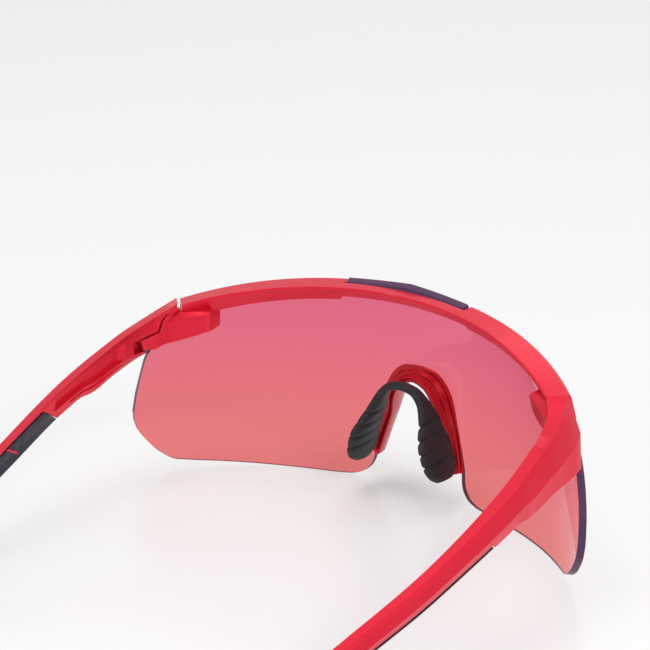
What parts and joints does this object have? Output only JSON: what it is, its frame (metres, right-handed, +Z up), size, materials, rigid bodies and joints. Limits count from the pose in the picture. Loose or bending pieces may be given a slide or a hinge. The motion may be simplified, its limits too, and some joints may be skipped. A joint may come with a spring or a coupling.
{
  "type": "wraparound sport sunglasses",
  "caption": "Half-rim wraparound sport sunglasses with a one-piece curved shield lens, clip-on nose saddle and inward-folding arms with rubber grips.",
  "frame": {"origin": "middle of the whole object's box, on the surface that the open glasses stand on", "axes": "+X to the wearer's left, -Y out through the front of the lens, +Y towards the ends of the arms, +Z up"},
  "size_m": [0.1392, 0.1455, 0.0567],
  "materials": {
    "frame_red": "satin pearl coral red",
    "lens_tint": "clear rose to orange tint, dark outer coating",
    "clip_red": "glossy deep red",
    "pad_rubber": "matte black",
    "grip_rubber": "matte dark navy",
    "pin_steel": "satin"
  },
  "bodies": {
    "front": {"brow_frame": "frame_red", "lens": "lens_tint", "nose_clip": "clip_red", "nose_pad": "pad_rubber", "left_hinge_pin": "pin_steel", "right_hinge_pin": "pin_steel"},
    "left_temple": {"left_arm": "frame_red", "left_arm_grip": "grip_rubber"},
    "right_temple": {"right_arm": "frame_red", "right_arm_grip": "grip_rubber"}
  },
  "joints": [
    {"name": "left_fold", "type": "hinge", "parent": "front", "child": "left_temple", "pos_m": [0.0613, -0.0343, 0.037], "axis": [0, 0.309, 0.9511], "range_deg": [0, 78]},
    {"name": "right_fold", "type": "hinge", "parent": "front", "child": "right_temple", "pos_m": [-0.0613, -0.0343, 0.037], "axis": [0, -0.309, -0.9511], "range_deg": [0, 90]}
  ]
}
